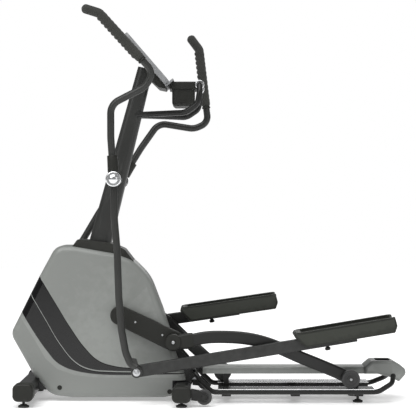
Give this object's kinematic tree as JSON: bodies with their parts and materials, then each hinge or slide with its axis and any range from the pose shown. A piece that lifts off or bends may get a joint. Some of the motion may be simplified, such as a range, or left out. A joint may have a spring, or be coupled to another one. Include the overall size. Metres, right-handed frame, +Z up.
{
  "type": "elliptical trainer",
  "caption": "Front drive elliptical trainer with swinging handlebars, pedals on roller arms that run on a rear rail frame, a grey drive shroud, console and fixed hand hold.",
  "frame": {"origin": "on the floor under the middle of the machine's length and width", "axes": "+X to the rear, where the user stands, +Y to the user's right side of the machine as seen from its left, +Z up"},
  "size_m": [1.7318, 0.6, 1.722],
  "materials": {
    "frame_paint": "satin powder coat",
    "mast_paint": "satin powder coat",
    "shroud_grey": "fine satin grey moulding",
    "inlay_black": "gloss black",
    "black_plastic": "fine texture",
    "pedal_plastic": "leather grain texture",
    "mat_rubber": "ribbed",
    "foam": "closed cell foam",
    "chrome": "polished",
    "steel": "machined",
    "aluminium": "brushed strip",
    "cast": "machined casting",
    "belt": "ribbed belt",
    "wheel": "moulded tyre",
    "screen": "gloss window",
    "console_silver": "satin silver",
    "button_grey": "satin"
  },
  "bodies": {
    "frame": {"main_frame": "frame_paint", "front_stabilizer": "frame_paint", "middle_stabilizer": "frame_paint", "left_rail_tube": "frame_paint", "right_rail_tube": "frame_paint", "rail_cross_members": "frame_paint", "centre_beam": "frame_paint", "wheel_brackets": "frame_paint", "fixed_handlebar": "frame_paint", "mast": "mast_paint", "left_shroud": "shroud_grey", "right_shroud": "shroud_grey", "beam_cover": "shroud_grey", "rear_handle_cover": "shroud_grey", "shroud_inlays": "inlay_black", "shroud_top_cover": "black_plastic", "stabilizer_caps": "black_plastic", "console_back_cover": "black_plastic", "accessory_tray": "black_plastic", "pulse_grips": "chrome", "handlebar_axle": "chrome", "flywheel_axle": "steel", "fold_hinge_pin": "steel", "fold_spring": "steel", "crank_bearings": "steel", "running_strips": "aluminium", "drive_belt": "belt", "levelling_feet": "mat_rubber", "console_screen": "screen", "console_housing": "console_silver"},
    "crank": {"crankshaft": "steel", "left_crank_arm": "steel", "right_crank_arm": "steel", "crank_covers": "black_plastic", "drive_pulley": "black_plastic"},
    "flywheel": {"flywheel": "cast"},
    "start_button": {"start_button": "button_grey"},
    "stop_button": {"stop_button": "button_grey"},
    "left_transport_wheel": {"left_transport_wheel": "wheel"},
    "right_transport_wheel": {"right_transport_wheel": "wheel"},
    "left_roller_carriage": {"left_roller_axle": "steel"},
    "left_roller_wheel": {"left_roller_wheel": "wheel"},
    "left_roller_arm": {"left_roller_arm": "mast_paint", "left_crank_pin_housing": "black_plastic"},
    "left_pedal_arm": {"left_pedal_arm": "mast_paint", "left_pedal": "pedal_plastic", "left_pedal_mat": "mat_rubber"},
    "left_handlebar": {"left_handlebar": "mast_paint", "left_grip": "foam", "left_pivot_cap": "chrome"},
    "right_roller_carriage": {"right_roller_axle": "steel"},
    "right_roller_wheel": {"right_roller_wheel": "wheel"},
    "right_roller_arm": {"right_roller_arm": "mast_paint", "right_crank_pin_housing": "black_plastic"},
    "right_pedal_arm": {"right_pedal_arm": "mast_paint", "right_pedal": "pedal_plastic", "right_pedal_mat": "mat_rubber"},
    "right_handlebar": {"right_handlebar": "mast_paint", "right_grip": "foam", "right_pivot_cap": "chrome"}
  },
  "joints": [
    {"name": "crank_turn", "type": "hinge", "parent": "frame", "child": "crank", "pos_m": [-0.38881, 0, 0.381], "axis": [0, 1, 0], "range_deg": [0, 180]},
    {"name": "flywheel_spin", "type": "hinge", "parent": "frame", "child": "flywheel", "pos_m": [-0.64381, 0, 0.33], "axis": [0, 1, 0], "range_deg": [-1, 1081]},
    {"name": "left_stride", "type": "slide", "parent": "frame", "child": "left_roller_carriage", "axis": [1, 0, 0], "range_m": [-0.55461, 0.0005]},
    {"name": "left_roller_arm_tilt", "type": "hinge", "parent": "left_roller_carriage", "child": "left_roller_arm", "pos_m": [0.61719, -0.104, 0.105], "axis": [0, 1, 0], "range_deg": [-0.05, 17.51]},
    {"name": "left_roller_spin", "type": "hinge", "parent": "left_roller_carriage", "child": "left_roller_wheel", "pos_m": [0.61719, -0.138, 0.105], "axis": [0, 1, 0], "range_deg": [-794.7, 1]},
    {"name": "left_pedal_pivot", "type": "hinge", "parent": "left_roller_arm", "child": "left_pedal_arm", "pos_m": [0.30799, -0.19, 0.2488], "axis": [0, 1, 0], "range_deg": [-16.5, 0.05]},
    {"name": "left_handlebar_swing", "type": "hinge", "parent": "frame", "child": "left_handlebar", "pos_m": [-0.40681, -0.246, 0.973], "axis": [0, 1, 0], "range_deg": [-0.05, 35.61]},
    {"name": "left_transport_wheel_spin", "type": "hinge", "parent": "frame", "child": "left_transport_wheel", "pos_m": [-0.01981, -0.251, 0.042], "axis": [0, 1, 0], "continuous": true},
    {"name": "right_stride", "type": "slide", "parent": "frame", "child": "right_roller_carriage", "axis": [1, 0, 0], "range_m": [-0.0005, 0.55461]},
    {"name": "right_roller_arm_tilt", "type": "hinge", "parent": "right_roller_carriage", "child": "right_roller_arm", "pos_m": [0.06308, 0.104, 0.105], "axis": [0, 1, 0], "range_deg": [-17.51, 0.05]},
    {"name": "right_roller_spin", "type": "hinge", "parent": "right_roller_carriage", "child": "right_roller_wheel", "pos_m": [0.06308, 0.138, 0.105], "axis": [0, 1, 0], "range_deg": [-1, 794.7]},
    {"name": "right_pedal_pivot", "type": "hinge", "parent": "right_roller_arm", "child": "right_pedal_arm", "pos_m": [-0.18873, 0.19, 0.33494], "axis": [0, 1, 0], "range_deg": [-0.05, 16.5]},
    {"name": "right_handlebar_swing", "type": "hinge", "parent": "frame", "child": "right_handlebar", "pos_m": [-0.40681, 0.246, 0.973], "axis": [0, 1, 0], "range_deg": [-35.61, 0.05]},
    {"name": "right_transport_wheel_spin", "type": "hinge", "parent": "frame", "child": "right_transport_wheel", "pos_m": [-0.01981, 0.251, 0.042], "axis": [0, 1, 0], "continuous": true},
    {"name": "start_button_press", "type": "slide", "parent": "frame", "child": "start_button", "axis": [-0.7569, 0, -0.6535], "range_m": [0, 0.0015], "stiffness_N_per_m": 400},
    {"name": "stop_button_press", "type": "slide", "parent": "frame", "child": "stop_button", "axis": [-0.7569, 0, -0.6535], "range_m": [0, 0.0015], "stiffness_N_per_m": 400}
  ],
  "couplings": [
    {"joint": "flywheel_spin", "follows": "crank_turn", "ratio": 6},
    {"joint": "left_stride", "follows": "crank_turn", "m_per_rad": -0.17638},
    {"joint": "left_roller_arm_tilt", "follows": "crank_turn", "ratio": 0.096998},
    {"joint": "left_roller_spin", "follows": "crank_turn", "ratio": -4.4094},
    {"joint": "left_pedal_pivot", "follows": "crank_turn", "ratio": -0.091412},
    {"joint": "left_handlebar_swing", "follows": "crank_turn", "ratio": 0.19758},
    {"joint": "right_stride", "follows": "crank_turn", "m_per_rad": 0.17638},
    {"joint": "right_roller_arm_tilt", "follows": "crank_turn", "ratio": -0.096998},
    {"joint": "right_roller_spin", "follows": "crank_turn", "ratio": 4.4094},
    {"joint": "right_pedal_pivot", "follows": "crank_turn", "ratio": 0.091412},
    {"joint": "right_handlebar_swing", "follows": "crank_turn", "ratio": -0.19758}
  ]
}
